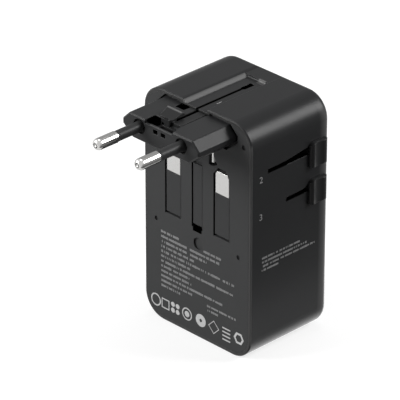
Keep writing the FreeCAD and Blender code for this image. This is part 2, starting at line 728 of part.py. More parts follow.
def make_usb_a(x):
    shell = usb_a_prism(x, 0, 0.3, 14.0).cut(usb_a_prism(x, -usb_shell, -1, 12.5))
    tongue = box(x - 5.6, x + 5.6, usb_a_y + 0.4, usb_a_y + 2.3, 1.3, 12.6)
    return shell.fuse(tongue)


def make_usb_c(x):
    shell = usb_c_prism(x, 0, 0.3, 8.0).cut(usb_c_prism(x, -usb_shell, -1, 6.8))
    tongue = box(x - 3.3, x + 3.3, usb_c_y - 0.35, usb_c_y + 0.35, 1.0, 6.9)
    return shell.fuse(tongue)


def socket_holes(side, y0, y1):
    """One line hole of the universal socket: round, flat, slanted and rectangular pins share it."""
    z = socket_line_z
    round_hole = rod(2.5, Vector(side * 9.5, y0, z), Vector(side * 9.5, y1, z))
    uk_hole = box(side * line_pin_offset - 3.5, side * line_pin_offset + 3.5, y0, y1, z - 2.25, z + 2.25)
    us_hole = box(side * 6.35 - 1.0, side * 6.35 + 1.0, y0, y1, z - 3.9, z + 3.9)
    au_hole = box(-1.0, 1.0, y0, y1, -3.9, 3.9)
    au_hole.rotate(Vector(0, 0, 0), AXIS_Y, side * 30.0)
    au_hole.translate(Vector(side * 7.0, 0, z))
    return fuse([round_hole, uk_hole, us_hole, au_hole])


def make_socket_face():
    inside = body_depth - back_wall
    outside = body_depth - socket_recess
    flange = rounded_slab(socket_half_width + 1.6, socket_low - 1.6, socket_high + 1.6, socket_corner + 1.6,
                          inside - socket_flange, inside)
    face = rounded_slab(socket_half_width - seam, socket_low + seam, socket_high - seam, socket_corner - seam,
                        inside - 0.2, outside)
    face = chamfer_where(face, 0.3, lies_at_y(outside))
    plate = flange.fuse(face).removeSplitter()
    under = inside - socket_flange
    for x0, x1 in ((15.35, 16.6), (-16.6, -15.35)):
        plate = plate.fuse(box(x0, x1, under - 2.1, under + 0.1, 7.6, 26.6))
    for x0, x1 in ((14.7, 16.6), (-16.6, -14.7)):
        plate = plate.fuse(box(x0, x1, under - 2.1, under - 1.45, 7.6, 26.6))
    y0 = under - 0.5
    y1 = body_depth + 1
    for side in (-1, 1):
        plate = plate.cut(socket_holes(side, y0, y1))
    plate = plate.cut(box(-2.3, 2.3, y0, y1, socket_earth_z - 4.3, socket_earth_z + 4.3))
    round_earth = box(-2.6, 2.6, y0, y1, socket_line_z + 12.0 - 4.1, socket_line_z + 12.0 + 4.1)
    plate = plate.cut(fillet_where(round_earth, 2.55, runs_along("y")))
    plate = plate.cut(box(-fuse_half, fuse_half, y0, y1, fuse_z - 3.2, fuse_z + 3.2))
    return plate.removeSplitter()


def make_fuse():
    return rod(2.55, Vector(-10, fuse_y, fuse_z), Vector(10, fuse_y, fuse_z))


def make_fuse_cap():
    outside = body_depth - socket_recess
    cap = box(-fuse_half + 0.1, fuse_half - 0.1, outside - 1.6, outside, fuse_z - 3.1, fuse_z + 3.1)
    cap = chamfer_where(cap, 0.3, lies_at_y(outside))
    cap = cap.cut(box(-1.5, 1.5, outside - 0.6, outside + 1, fuse_z - 0.4, fuse_z + 0.4))
    clips = [box(x, x + 1.2, fuse_y + 1.0, outside - 1.5, fuse_z - 2.9, fuse_z + 2.9).cut(
        rod(2.6, Vector(x - 1, fuse_y, fuse_z), Vector(x + 2, fuse_y, fuse_z))) for x in (-8.5, 7.3)]
    return fuse([cap] + clips)


def make_line_contact(side):
    """Brass jaw behind a line hole: two bowed leaves joined at their root."""
    z = socket_line_z
    root = board_y + board_thickness
    outline = [(root, z - 5.0), (31.4, z - 5.0), (31.4, z - 4.5), (24.0, z - 4.1), (root + 0.6, z - 4.3),
               (root + 0.6, z + 4.3), (24.0, z + 4.1), (31.4, z + 4.5), (31.4, z + 5.0), (root, z + 5.0)]
    x0, x1 = (4.6, 14.4) if side > 0 else (-14.4, -4.6)
    return extrude_yz(outline, x0, x1)


def make_earth_contact():
    root = board_y + board_thickness
    outline = [(-3.0, root), (3.0, root), (3.0, 32.4), (2.5, 32.4), (2.5, root + 0.6), (-2.5, root + 0.6),
               (-2.5, 32.4), (-3.0, 32.4)]
    return extrude_xy(outline, 30.0, socket_earth_z + 3.5)


def make_shutter():
    """Sliding safety plate right behind the line holes."""
    back = body_depth - back_wall - socket_flange - 0.1
    plate = box(-15.2, 15.2, back - 1.2, back, socket_line_z - 4.8, socket_line_z + 4.8)
    return fillet_where(plate, 1.0, runs_along("y"))


def make_board():
    board = box(-21.0, 21.0, board_y, board_y + board_thickness, side_wall, 36.0)
    return fillet_where(board, 6.2, lambda b: runs_along("y")(b) and b.ZMax < 10)


def make_transformer():
    core = box(-18.0, -5.0, 3.2, board_y, 17.0, 33.0)
    winding = box(-19.0, -4.0, 4.2, board_y, 19.5, 30.5)
    return fuse([chamfer_where(core, 0.6, runs_along("z")), chamfer_where(winding, 1.5, runs_along("z"))])


def make_capacitors():
    return [rod(4.2, Vector(x, 2.9, 27.5), Vector(x, board_y, 27.5)) for x in (2.5, 12.5)]


def make_light_pipe():
    y0 = board_y + board_thickness
    pipe = rod(light_pipe_radius, Vector(light_pipe_x, y0, light_pipe_z),
               Vector(light_pipe_x, body_depth - 0.02, light_pipe_z))
    return pipe


# ---------------------------------------------------------------- write the nodes
os.makedirs("parts", exist_ok=True)

save("main_shell", make_main_shell())
save("plug_face_plate", make_plug_face_plate())
save("socket_face_plate", make_socket_face())
save("live_contact", make_line_contact(1))
save("neutral_contact", make_line_contact(-1))
save("earth_contact", make_earth_contact())
save("circuit_board", make_board())
save("transformer", make_transformer())
save("capacitors", *make_capacitors())
save("usb_a_ports", make_usb_a(-usb_offset), make_usb_a(usb_offset))
save("usb_c_ports", make_usb_c(-usb_offset), make_usb_c(usb_offset))
save("fuse_link", make_fuse())
save("fuse_cap", make_fuse_cap())
save("light_pipe", make_light_pipe())
save("safety_shutter", make_shutter())

save("eu_plug_block", make_eu_block())
save("eu_pins", make_eu_pin(-1), make_eu_pin(1))
save("eu_pin_sleeves", make_eu_sleeve(-1), make_eu_sleeve(1))
save("eu_slider_knob", make_eu_knob())
save("eu_latch_strip", make_eu_latch_strip())

save("us_carriage", make_us_carriage())
save("us_slider_knob", make_side_knob(us_knob_z, us_slot_z))
save("left_blade", make_blade(-1))
save("left_blade_hub", make_blade_hub(-1))
save("right_blade", make_blade(1))
save("right_blade_hub", make_blade_hub(1))

save("uk_carriage", make_uk_carriage())
save("line_racks", make_line_rack(-1), make_line_rack(1))
save("earth_rack", make_earth_rack())
save("uk_slider_knob", make_side_knob(uk_knob_z, uk_slot_z))
save("line_idler_gears", *[make_idler(line_idler_y, line_pivot_z, side * line_pin_offset) for side in (-1, 1)])
save("line_idler_shaft", rod(axle_radius, Vector(-15.7, line_idler_y, line_pivot_z),
                             Vector(15.7, line_idler_y, line_pivot_z)))
save("earth_idler_gear", make_idler(earth_idler_y, earth_pivot_z, 0))
save("earth_idler_shaft", rod(axle_radius, Vector(-3.3, earth_idler_y, earth_pivot_z),
                              Vector(3.3, earth_idler_y, earth_pivot_z)))
save("line_pin_rockers", make_line_rocker(-1), make_line_rocker(1))
save("line_pins", make_line_pin(-1), make_line_pin(1))
save("earth_pin", make_earth_pin())
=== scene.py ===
import json
import math

import bmesh
import bpy
from mathutils import Euler, Matrix, Vector


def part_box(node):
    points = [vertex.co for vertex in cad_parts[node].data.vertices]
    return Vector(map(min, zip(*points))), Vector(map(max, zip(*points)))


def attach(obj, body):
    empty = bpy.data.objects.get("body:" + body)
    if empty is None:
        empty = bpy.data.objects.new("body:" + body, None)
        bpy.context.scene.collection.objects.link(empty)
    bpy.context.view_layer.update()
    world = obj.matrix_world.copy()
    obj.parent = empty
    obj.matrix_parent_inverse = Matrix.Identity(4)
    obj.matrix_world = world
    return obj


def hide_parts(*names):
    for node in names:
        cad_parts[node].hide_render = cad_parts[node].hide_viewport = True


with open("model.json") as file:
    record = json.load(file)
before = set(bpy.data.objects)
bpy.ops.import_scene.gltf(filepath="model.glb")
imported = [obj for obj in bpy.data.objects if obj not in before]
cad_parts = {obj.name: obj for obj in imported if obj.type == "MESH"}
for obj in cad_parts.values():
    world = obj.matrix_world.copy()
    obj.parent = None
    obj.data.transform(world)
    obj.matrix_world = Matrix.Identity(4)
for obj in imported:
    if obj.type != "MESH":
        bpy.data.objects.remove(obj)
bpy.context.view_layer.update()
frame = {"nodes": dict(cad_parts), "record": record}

MM = 0.001
SHELL_LOW, SHELL_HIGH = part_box("main_shell")
PLUG_FACE_Y = SHELL_LOW.y
RIGHT_WALL_X = SHELL_HIGH.x
SHELL_TOP_Z = SHELL_HIGH.z
CHANNEL_DEPTH = 1.2 * MM
INK_THICKNESS = 0.02 * MM
EDGE_RADIUS = 0.25 * MM
SHARP_ANGLE = math.radians(30)
TURNED_SEGMENTS = 48
WHITE = (1, 1, 1, 1)
BLACK = (0, 0, 0, 1)


# ---------------------------------------------------------------- node helpers
def add_node(tree, kind, inputs=None, **settings):
    """A node with its settings and the values of its unlinked inputs."""
    node = tree.nodes.new(kind)
    for name, value in settings.items():
        setattr(node, name, value)
    for name, value in (inputs or {}).items():
        if isinstance(value, bpy.types.NodeSocket):
            tree.links.new(value, node.inputs[name])
        else:
            node.inputs[name].default_value = value
    return node


def maths(tree, operation, first, second=0.0, third=0.0):
    """The output of a Math node; each operand is a number or a socket."""
    node = add_node(tree, "ShaderNodeMath", {0: first, 1: second, 2: third}, operation=operation)
    return node.outputs[0]


def blend_colours(tree, factor, first, second):
    """The first colour where the factor is 0 and the second where it is 1."""
    node = add_node(tree, "ShaderNodeMix", {0: factor, 6: first, 7: second}, data_type="RGBA")
    return node.outputs[2]


def ramp(tree, value, low, high, out_low=0.0, out_high=1.0):
    """A clamped linear map of one value."""
    node = add_node(tree, "ShaderNodeMapRange", {0: value, 1: low, 2: high, 3: out_low, 4: out_high})
    return node.outputs[0]


def object_place(tree):
    """The point of the surface in object space."""
    return add_node(tree, "ShaderNodeTexCoord").outputs["Object"]


def new_group(name, kind, inputs, outputs):
    """A node group with named sockets, and its input and output nodes."""
    group = bpy.data.node_groups.new(name, kind)
    for label, socket_type, value in inputs:
        socket = group.interface.new_socket(name=label, in_out="INPUT", socket_type=socket_type)
        if value is not None:
            socket.default_value = value
    for label, socket_type in outputs:
        group.interface.new_socket(name=label, in_out="OUTPUT", socket_type=socket_type)
    return group, group.nodes.new("NodeGroupInput"), group.nodes.new("NodeGroupOutput")


# ---------------------------------------------------------------- shared effects
def make_edge_wear_group():
    """Rounded edge normal, and a patchy mask of the edges that hands rub."""
    group, given, result = new_group("edge_wear", "ShaderNodeTree", [
        ("Patch Scale", "NodeSocketFloat", 400.0),
        ("Strength", "NodeSocketFloat", 0.5),
    ], [("Mask", "NodeSocketFloat"), ("Normal", "NodeSocketVector")])
    place = object_place(group)
    rounded = add_node(group, "ShaderNodeBevel", {"Radius": EDGE_RADIUS}, samples=4)
    plain = add_node(group, "ShaderNodeNewGeometry")
    facing = add_node(group, "ShaderNodeVectorMath", {0: rounded.outputs[0], 1: plain.outputs["Normal"]},
                      operation="DOT_PRODUCT")
    edge = ramp(group, facing.outputs["Value"], 0.995, 0.85)
    patches = add_node(group, "ShaderNodeTexNoise", {
        "Vector": place, "Scale": given.outputs["Patch Scale"], "Detail": 4.0})
    rubbed = ramp(group, patches.outputs["Fac"], 0.35, 0.7)
    mask = maths(group, "MULTIPLY", maths(group, "MULTIPLY", edge, rubbed), given.outputs["Strength"])
    group.links.new(mask, result.inputs["Mask"])
    group.links.new(rounded.outputs[0], result.inputs["Normal"])
    return group


def swing(tree, noise, amount):
    """Noise around 0.5 as a change to both sides of 0."""
    return maths(tree, "MULTIPLY", maths(tree, "SUBTRACT", noise, 0.5), amount)


def make_moulded_skin_group():
    """Spark-eroded plastic: slow mottling, fine specks, uneven sheen and the height of the grain."""
    group, given, result = new_group("moulded_skin", "ShaderNodeTree", [
        ("Colour", "NodeSocketColor", (0.04, 0.04, 0.04, 1)),
        ("Mottle", "NodeSocketFloat", 0.1),
        ("Speck", "NodeSocketFloat", 0.1),
        ("Grain Scale", "NodeSocketFloat", 4000.0),
        ("Roughness", "NodeSocketFloat", 0.5),
        ("Roughness Spread", "NodeSocketFloat", 0.06),
    ], [("Colour", "NodeSocketColor"), ("Roughness", "NodeSocketFloat"), ("Height", "NodeSocketFloat")])
    place = object_place(group)
    clouds = add_node(group, "ShaderNodeTexNoise", {"Vector": place, "Scale": 55.0, "Detail": 3.0})
    specks = add_node(group, "ShaderNodeTexNoise", {
        "Vector": place, "Scale": given.outputs["Grain Scale"], "Detail": 2.0})
    pits = add_node(group, "ShaderNodeTexVoronoi", {"Vector": place, "Scale": given.outputs["Grain Scale"]})
    slow = swing(group, clouds.outputs["Fac"], given.outputs["Mottle"])
    fast = swing(group, specks.outputs["Fac"], given.outputs["Speck"])
    level = maths(group, "ADD", maths(group, "ADD", slow, fast), 1.0)
    tint = add_node(group, "ShaderNodeVectorMath", {0: given.outputs["Colour"]}, operation="SCALE")
    group.links.new(level, tint.inputs["Scale"])
    smears = add_node(group, "ShaderNodeTexNoise", {
        "Vector": place, "Scale": 130.0, "Detail": 5.0, "Distortion": 0.6})
    sheen = swing(group, smears.outputs["Fac"], given.outputs["Roughness Spread"])
    grain = maths(group, "ADD", specks.outputs["Fac"], pits.outputs["Distance"])
    group.links.new(tint.outputs[0], result.inputs["Colour"])
    group.links.new(maths(group, "ADD", given.outputs["Roughness"], sheen), result.inputs["Roughness"])
    group.links.new(grain, result.inputs["Height"])
    return group


def make_rubbed_metal_group():
    """Metal with fine rub marks along one axis, faint stains and uneven polish."""
    group, given, result = new_group("rubbed_metal", "ShaderNodeTree", [
        ("Colour", "NodeSocketColor", (0.7, 0.7, 0.7, 1)),
        ("Stain Colour", "NodeSocketColor", (0.5, 0.48, 0.45, 1)),
        ("Stain", "NodeSocketFloat", 0.2),
        ("Roughness", "NodeSocketFloat", 0.25),
        ("Roughness Spread", "NodeSocketFloat", 0.1),
        ("Rub Stretch", "NodeSocketVector", (900.0, 60.0, 900.0)),
    ], [("Colour", "NodeSocketColor"), ("Roughness", "NodeSocketFloat"), ("Height", "NodeSocketFloat")])
    place = object_place(group)
    stretched = add_node(group, "ShaderNodeMapping")
    group.links.new(place, stretched.inputs["Vector"])
    group.links.new(given.outputs["Rub Stretch"], stretched.inputs["Scale"])
    rubs = add_node(group, "ShaderNodeTexNoise", {
        "Vector": stretched.outputs[0], "Scale": 4.0, "Detail": 5.0})
    stains = add_node(group, "ShaderNodeTexNoise", {"Vector": place, "Scale": 220.0, "Detail": 4.0})
    amount = maths(group, "MULTIPLY", ramp(group, stains.outputs["Fac"], 0.45, 0.75), given.outputs["Stain"])
    colour = blend_colours(group, amount, given.outputs["Colour"], given.outputs["Stain Colour"])
    spread = swing(group, rubs.outputs["Fac"], given.outputs["Roughness Spread"])
    group.links.new(colour, result.inputs["Colour"])
    group.links.new(maths(group, "ADD", given.outputs["Roughness"], spread), result.inputs["Roughness"])
    group.links.new(rubs.outputs["Fac"], result.inputs["Height"])
    return group


def make_region_group():
    """1 inside a box of object space and 0 outside it, with a soft edge on the inside."""
    group, given, result = new_group("region", "ShaderNodeTree", [
        ("Low", "NodeSocketVector", (0, 0, 0)),
        ("High", "NodeSocketVector", (0, 0, 0)),
        ("Edge", "NodeSocketFloat", 0.1 * MM),
    ], [("Mask", "NodeSocketFloat")])
    place = object_place(group)
    above = add_node(group, "ShaderNodeVectorMath", {0: place, 1: given.outputs["Low"]},
                     operation="SUBTRACT")
    below = add_node(group, "ShaderNodeVectorMath", {0: given.outputs["High"], 1: place},
                     operation="SUBTRACT")
    nearest = add_node(group, "ShaderNodeVectorMath", {0: above.outputs[0], 1: below.outputs[0]},
                       operation="MINIMUM")
    parts = add_node(group, "ShaderNodeSeparateXYZ", {0: nearest.outputs[0]})
    sideways = maths(group, "MINIMUM", parts.outputs[0], parts.outputs[1])
    depth = maths(group, "MINIMUM", sideways, parts.outputs[2])
    group.links.new(ramp(group, depth, 0.0, given.outputs["Edge"]), result.inputs["Mask"])
    return group


EDGE_WEAR = make_edge_wear_group()
REGION = make_region_group()
MOULDED_SKIN = make_moulded_skin_group()
RUBBED_METAL = make_rubbed_metal_group()


# ---------------------------------------------------------------- materials
def spaced(values):
    """Socket names written with spaces in place of underscores."""
    return {name.replace("_", " "): value for name, value in values.items()}


def bare_material(name):
    """A material, its tree and its output node, with nothing else in it."""
    material = bpy.data.materials.new(name)
    material.use_nodes = True
    tree = material.node_tree
    tree.nodes.clear()
    return material, tree, tree.nodes.new("ShaderNodeOutputMaterial")


def new_material(name, **constants):
    """A material with its Principled shader, whose constant sockets are set directly."""
    material, tree, output = bare_material(name)
    shader = add_node(tree, "ShaderNodeBsdfPrincipled", spaced(constants))
    tree.links.new(shader.outputs[0], output.inputs["Surface"])
    return material, tree, shader


def place_group(tree, group, **values):
    """One use of a shared effect, with its own values."""
    return add_node(tree, "ShaderNodeGroup", spaced(values), node_tree=group)


def finish_surface(tree, shader, skin, edges, colour, grain_depth):
    """Feed the shader: colour, roughness and a grain that bumps the rounded edge normal."""
    bump = add_node(tree, "ShaderNodeBump", {
        "Strength": 0.6, "Distance": grain_depth, "Height": skin.outputs["Height"],
        "Normal": edges.outputs["Normal"]})
    tree.links.new(colour, shader.inputs["Base Color"])
    tree.links.new(skin.outputs["Roughness"], shader.inputs["Roughness"])
    tree.links.new(bump.outputs[0], shader.inputs["Normal"])


def region_mask(tree, low, high, edge):
    """The mask of a box given in mm as two corners and a soft edge."""
    inside = place_group(tree, REGION, Low=tuple(Vector(low) * MM), High=tuple(Vector(high) * MM),
                         Edge=edge * MM)
    return inside.outputs["Mask"]


# near black for painted shade, standing in for the shadow in slots, gaps and holes
PAINTED_SHADE_COLOUR = (0.0015, 0.0015, 0.0015, 1)


def plastic(name, colour, worn, roughness, specular=0.15, mottle=0.12, speck=0.25, grain_scale=4200.0,
            grain_depth=0.004 * MM, wear=0.5, painted_shade_boxes=(), painted_highlight_boxes=()):
    """Moulded plastic with a fine grain and rubbed edges.

    Painted shade and painted highlights are boxes, given in mm as two corners and a soft edge. Painted shade
    turns near black in place of the shadow in recesses and gaps; a painted highlight turns to its grey level
    in place of a reflection. A painted-shade box is also metallic, which takes the plastic's gloss off it.
    """
    material, tree, shader = new_material(name, Specular_IOR_Level=specular)
    skin = place_group(tree, MOULDED_SKIN, Colour=(*colour, 1), Mottle=mottle, Speck=speck,
                       Grain_Scale=grain_scale, Roughness=roughness, Roughness_Spread=0.1)
    edges = place_group(tree, EDGE_WEAR, Strength=wear)
    shade = blend_colours(tree, edges.outputs["Mask"], skin.outputs["Colour"], (*worn, 1))
    # painted highlights: a lighter grey in each box, in place of a reflection
    for low, high, edge, grey in painted_highlight_boxes:
        shade = blend_colours(tree, region_mask(tree, low, high, edge), shade, (grey, grey, grey, 1))
    # painted shade: near black, and metallic so that no gloss shows, in place of the shadow in recesses and
    # gaps
    if painted_shade_boxes:
        painted_shade_mask = 0.0
        for painted_shade_box in painted_shade_boxes:
            painted_shade_mask = maths(tree, "MAXIMUM", region_mask(tree, *painted_shade_box), painted_shade_mask)
        shade = blend_colours(tree, painted_shade_mask, shade, PAINTED_SHADE_COLOUR)
        tree.links.new(painted_shade_mask, shader.inputs["Metallic"])
    finish_surface(tree, shader, skin, edges, shade, grain_depth)
    return material


RUB_DEPTH = 0.002 * MM
RUBBED_GAIN = 1.15


def metal(name, colour, stain_colour, roughness, stain=0.25, rub=(900.0, 60.0, 900.0)):
    """Bare or plated metal with faint stains and with rub marks along the axis of its smallest rub."""
    material, tree, shader = new_material(name, Metallic=1.0)
    skin = place_group(tree, RUBBED_METAL, Colour=(*colour, 1), Stain_Colour=(*stain_colour, 1),
                       Stain=stain, Roughness=roughness, Roughness_Spread=0.12, Rub_Stretch=rub)
    edges = place_group(tree, EDGE_WEAR, Strength=0.5)
    bright = tuple(min(1.0, c * RUBBED_GAIN) for c in colour)
    shade = blend_colours(tree, edges.outputs["Mask"], skin.outputs["Colour"], (*bright, 1))
    finish_surface(tree, shader, skin, edges, shade, RUB_DEPTH)
    return material


def board_laminate():
    """Green board with copper tracks under the solder mask."""
    material, tree, shader = new_material("board_laminate", Specular_IOR_Level=0.5)
    skin = place_group(tree, MOULDED_SKIN, Colour=(0.015, 0.09, 0.035, 1), Mottle=0.2, Speck=0.2,
                       Grain_Scale=6000.0, Roughness=0.3, Roughness_Spread=0.1)
    edges = place_group(tree, EDGE_WEAR, Strength=0.6)
    place = object_place(tree)
    tracks = add_node(tree, "ShaderNodeTexBrick", {
        "Vector": place, "Scale": 180.0, "Mortar Size": 0.03, "Color1": BLACK, "Color2": BLACK,
        "Mortar": WHITE})
    shade = blend_colours(tree, tracks.outputs["Fac"], skin.outputs["Colour"], (0.05, 0.2, 0.06, 1))
    shade = blend_colours(tree, edges.outputs["Mask"], shade, (0.35, 0.33, 0.2, 1))
    finish_surface(tree, shader, skin, edges, shade, 0.005 * MM)
    return material


FUSE_CAP_START = 5.0 * MM


def fuse_ceramic():
    """Ceramic tube between two plated end caps."""
    material, tree, shader = new_material("fuse_ceramic", Specular_IOR_Level=0.5)
    skin = place_group(tree, MOULDED_SKIN, Colour=(0.72, 0.68, 0.6, 1), Mottle=0.1, Speck=0.1,
                       Grain_Scale=3000.0, Roughness=0.35, Roughness_Spread=0.1)
    edges = place_group(tree, EDGE_WEAR, Strength=0.4)
    place = object_place(tree)
    along = add_node(tree, "ShaderNodeSeparateXYZ", {0: place})
    cap = maths(tree, "GREATER_THAN", maths(tree, "ABSOLUTE", along.outputs["X"]), FUSE_CAP_START)
    shade = blend_colours(tree, cap, skin.outputs["Colour"], (0.65, 0.62, 0.55, 1))
    tree.links.new(cap, shader.inputs["Metallic"])
    finish_surface(tree, shader, skin, edges, shade, 0.003 * MM)
    return material


def clear_plastic():
    """Clear light pipe, faintly frosted."""
    material, tree, shader = new_material("clear_plastic", Transmission_Weight=0.9, IOR=1.49)
    skin = place_group(tree, MOULDED_SKIN, Colour=(0.85, 0.9, 0.95, 1), Mottle=0.05, Speck=0.05,
                       Grain_Scale=3000.0, Roughness=0.3, Roughness_Spread=0.1)
    edges = place_group(tree, EDGE_WEAR, Strength=0.2)
    finish_surface(tree, shader, skin, edges, skin.outputs["Colour"], 0.002 * MM)
    return material


DARK_WORN = (0.075, 0.075, 0.077)
FACE = PLUG_FACE_Y / MM
BLOCK_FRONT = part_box("eu_plug_block")[0].y / MM
# painted shade in the casing's slots, slit, keyhole and tunnel, in place of their shadow
CASING_PAINTED_SHADE = (
    # slot of the US knob: behind the wall, then its narrow front end
    ((21.5, FACE + 6.0, 66.0), (24.4, FACE + 32.4, 70.6), 0.1),
    ((21.5, FACE + 7.1, 66.5), (24.7, FACE + 16.0, 68.3), 0.1),
    # slot of the UK knob, in the same two places
    ((21.5, FACE + 14.0, 52.9), (24.4, FACE + 32.4, 57.5), 0.1),
    ((21.5, FACE + 15.4, 53.4), (24.7, FACE + 24.0, 55.2), 0.1),
    # slit in the floor of the thumb channel, and the keyhole at its rear
    ((-0.68, FACE - 1.0, 80.0), (0.68, FACE + 20.0, 83.4), 0.1),
    ((-1.1, FACE + 19.9, 80.0), (1.1, FACE + 25.1, 83.25), 0.1),
    # tunnel that the European plug slides into
    ((-19.5, FACE + 0.3, 72.0), (19.5, FACE + 34.6, 83.1), 0.1),
)
# painted highlights on the casing, in place of reflections; each box has its grey level
CASING_PAINTED_HIGHLIGHTS = (
    # painted highlight on the rim round the plug face, and on its bevel towards the right wall
    ((-30.0, FACE - 1.0, -1.0), (30.0, FACE + 0.12, 90.0), 0.05, 0.036),
    ((24.0, FACE + 0.02, 4.0), (25.0, FACE + 0.5, 80.0), 0.1, 0.09),
    # painted reflection along the rear of the right wall and of the left wall
    ((22.0, FACE + 30.5, -4.0), (40.0, FACE + 45.0, 82.0), 6.0, 0.14),
    ((-40.0, FACE + 30.5, -4.0), (-22.0, FACE + 45.0, 82.0), 6.0, 0.14),
    # painted highlights on the rounded left lip of the thumb channel, and on its rear end
    ((-6.5, FACE - 1.0, 83.1), (-4.7, FACE + 27.6, 84.5), 0.5, 0.14),
    ((-0.2, FACE + 26.2, 83.1), (3.2, FACE + 28.2, 84.6), 0.5, 0.14),
)
# painted shade on the plug face plate, in place of the shadow in its notch, finger recess, openings and pin
# slots
FACE_PAINTED_SHADE = (
    # notch below the earth pin, and the upper half of the round finger recess
    ((-2.3, FACE + 0.1, 38.5), (2.3, FACE + 3.0, 40.3), 0.1),
    ((-2.5, FACE + 0.2, 34.0), (3.0, FACE + 0.55, 37.2), 0.1),
    # opening for the European plug
    ((-19.0, FACE + 0.1, 72.0), (19.0, FACE + 3.0, 83.2), 0.1),
    # painted shadow along the left side of each pin slot: left line pin, right line pin, earth pin
    ((-14.95, FACE - 0.1, 40.4), (-14.5, FACE + 3.0, 63.2), 0.1),
    ((7.25, FACE - 0.1, 40.4), (7.7, FACE + 3.0, 63.2), 0.1),
    ((-2.65, FACE - 0.1, 40.2), (-2.3, FACE + 3.0, 72.0), 0.1),
)
# painted shade on the European plug block, in place of the shadow in its holes, seats, pocket and gaps
BLOCK_PAINTED_SHADE = (
    # two square holes in the front, and the seats round the two pin sleeves
    ((-3.3, BLOCK_FRONT + 0.1, 79.0), (2.4, BLOCK_FRONT + 4.0, 80.75), 0.1),
    ((-12.2, BLOCK_FRONT + 0.1, 76.6), (-6.8, BLOCK_FRONT + 0.8, 82.0), 0.1),
    ((6.8, BLOCK_FRONT + 0.1, 76.6), (12.2, BLOCK_FRONT + 0.8, 82.0), 0.1),
    # pocket behind the knob, and the left end of the well before it
    ((-7.1, FACE - 3.1, 80.0), (-2.9, FACE + 1.3, 82.55), 0.1),
    ((-7.1, FACE - 15.4, 79.5), (-4.4, FACE - 11.5, 82.4), 0.1),
    # painted shade in the gaps to the left and right of the latch strip, and in the hole at its front end
    ((-0.5, FACE - 9.9, 80.0), (1.05, FACE + 1.3, 82.8), 0.1),
    ((4.05, FACE - 14.4, 80.0), (4.8, FACE + 1.3, 82.8), 0.1),
    ((3.3, BLOCK_FRONT + 0.7, 78.9), (5.6, BLOCK_FRONT + 2.5, 81.5), 0.1),
    # rear end, which stays in the tunnel
    ((-19.0, FACE + 0.1, 72.0), (19.0, FACE + 2.0, 82.6), 0.1),
)
# painted highlight on the crest of the European plug's knob
KNOB_PAINTED_HIGHLIGHTS = (((-8.0, FACE - 7.7, 83.3), (0.5, FACE - 5.9, 85.0), 0.5, 0.12),)
# the casing, face plate and plug block take painted shade; the casing and the knob take painted highlights
MATERIALS = {
    "casing_plastic": plastic("casing_plastic", (0.017, 0.0173, 0.018), DARK_WORN, 0.34, wear=0.35,
                              painted_shade_boxes=CASING_PAINTED_SHADE, painted_highlight_boxes=CASING_PAINTED_HIGHLIGHTS),
    "face_plastic": plastic("face_plastic", (0.036, 0.0365, 0.037), DARK_WORN, 0.55, specular=0.12,
                            painted_shade_boxes=FACE_PAINTED_SHADE),
    "plug_plastic": plastic("plug_plastic", (0.020, 0.0203, 0.021), DARK_WORN, 0.36,
                            painted_shade_boxes=BLOCK_PAINTED_SHADE),
    "knob_plastic": plastic("knob_plastic", (0.016, 0.0162, 0.0166), DARK_WORN, 0.36, wear=0.7,
                            painted_highlight_boxes=KNOB_PAINTED_HIGHLIGHTS),
    "sleeve_plastic": plastic("sleeve_plastic", (0.026, 0.0264, 0.027), DARK_WORN, 0.4),
    "slide_plastic": plastic("slide_plastic", (0.014, 0.0142, 0.0145), DARK_WORN, 0.5),
    "gear_plastic": plastic("gear_plastic", (0.62, 0.60, 0.56), (0.7, 0.69, 0.67), 0.4, specular=0.4,
                            mottle=0.05, speck=0.05),
    "shutter_plastic": plastic("shutter_plastic", (0.055, 0.055, 0.056), (0.1, 0.1, 0.1), 0.5,
                               specular=0.3),
    "core_tape": plastic("core_tape", (0.55, 0.40, 0.06), (0.65, 0.5, 0.12), 0.45, specular=0.4),
    "nickel_plate": metal("nickel_plate", (0.55, 0.546, 0.537), (0.45, 0.43, 0.4), 0.15, stain=0.15),
    "spring_brass": metal("spring_brass", (0.78, 0.58, 0.26), (0.45, 0.3, 0.12), 0.3),
    "steel": metal("steel", (0.52, 0.52, 0.52), (0.4, 0.38, 0.36), 0.25, rub=(60.0, 900.0, 900.0)),
    "port_steel": metal("port_steel", (0.55, 0.55, 0.54), (0.42, 0.4, 0.38), 0.28,
                        rub=(900.0, 900.0, 60.0)),
    "can_aluminium": metal("can_aluminium", (0.58, 0.59, 0.61), (0.5, 0.5, 0.5), 0.3),
    "board_laminate": board_laminate(),
    "fuse_ceramic": fuse_ceramic(),
    "clear_plastic": clear_plastic(),
}
INK_FINISH = {"specular": 0.3, "grain_scale": 1500.0, "grain_depth": 0.001 * MM, "wear": 0.0}
ROW_INK = plastic("row_ink", (0.26, 0.26, 0.26), (0.2, 0.2, 0.2), 0.5, mottle=0.5, speck=0.5, **INK_FINISH)
MARK_INK = plastic("mark_ink", (0.50, 0.50, 0.50), (0.3, 0.3, 0.3), 0.5, mottle=0.2, speck=0.3, **INK_FINISH)

# every solid of the part wears the material of its slot
for name, node in frame["nodes"].items():
    slot = next(s["material_slot"] for s in frame["record"]["subparts"] if s["node"] == name)
    for index in range(max(1, len(node.data.materials))):
        if len(node.data.materials) <= index:
            node.data.materials.append(MATERIALS[slot])
        else:
            node.data.materials[index] = MATERIALS[slot]


# ---------------------------------------------------------------- printed legends
SHORTEST_STROKE = 0.65
STROKE_PITCH = 0.40 * MM
STROKE_SHARE = 0.7
SPACE_CHANCE = 0.2
NUMERAL_HEIGHT = 3.2 * MM


